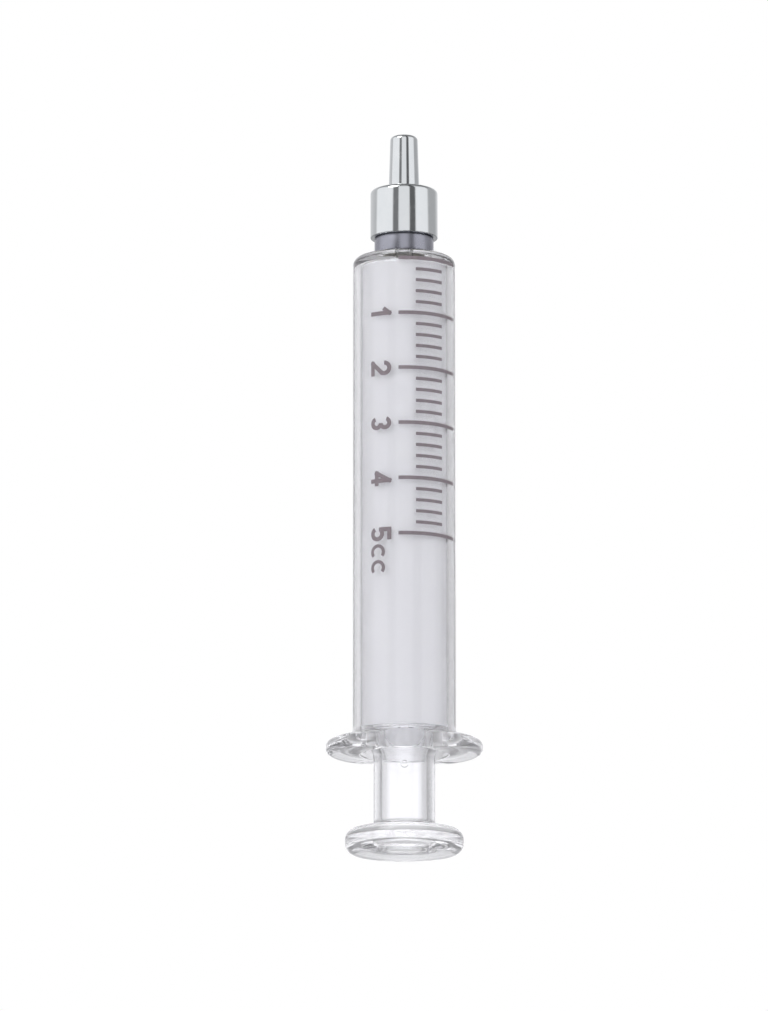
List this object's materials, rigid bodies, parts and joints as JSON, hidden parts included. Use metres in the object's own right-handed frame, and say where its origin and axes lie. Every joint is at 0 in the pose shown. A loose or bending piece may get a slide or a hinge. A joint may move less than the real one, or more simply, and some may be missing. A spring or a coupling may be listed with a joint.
{
  "type": "glass oral syringe",
  "caption": "Glass dosing syringe with a ground glass plunger, finger flange, fired-on scale and a chromed metal Luer slip tip.",
  "frame": {"origin": "centre of the thumb button's flat end, on which the syringe can stand upright", "axes": "+Z along the syringe towards the Luer tip, -Y the side that carries the scale, +X to the right of the scale"},
  "size_m": [0.0226, 0.017, 0.1058],
  "materials": {
    "clear_glass": "fire-polished",
    "ground_glass": "finely ground, matt",
    "chrome": "polished",
    "nickel": "satin",
    "cement": "matt",
    "silicone": "matt",
    "enamel": "fired, slightly glossy"
  },
  "bodies": {
    "barrel": {"barrel": "clear_glass", "hub_ferrule": "nickel", "hub_cement": "cement", "hub_gasket": "silicone", "hub_collar": "chrome", "luer_tip": "chrome", "major_mark_0cc": "enamel", "major_mark_1cc": "enamel", "major_mark_2cc": "enamel", "major_mark_3cc": "enamel", "major_mark_4cc": "enamel", "major_mark_5cc": "enamel", "minor_mark_01": "enamel", "minor_mark_02": "enamel", "minor_mark_03": "enamel", "minor_mark_04": "enamel", "minor_mark_05": "enamel", "minor_mark_06": "enamel", "minor_mark_07": "enamel", "minor_mark_08": "enamel", "minor_mark_09": "enamel", "minor_mark_10": "enamel", "minor_mark_11": "enamel", "minor_mark_12": "enamel", "minor_mark_13": "enamel", "minor_mark_14": "enamel", "minor_mark_15": "enamel", "minor_mark_16": "enamel", "minor_mark_17": "enamel", "minor_mark_18": "enamel", "minor_mark_19": "enamel", "minor_mark_20": "enamel", "numeral_1": "enamel", "numeral_2": "enamel", "numeral_3": "enamel", "numeral_4": "enamel", "numeral_5": "enamel", "unit_letter_c1": "enamel", "unit_letter_c2": "enamel"},
    "plunger": {"piston": "ground_glass", "plunger_neck": "clear_glass", "thumb_button": "clear_glass"}
  },
  "joints": [
    {"name": "plunger_slide", "type": "slide", "parent": "barrel", "child": "plunger", "axis": [0, 0, -1], "range_m": [0, 0.045]}
  ]
}
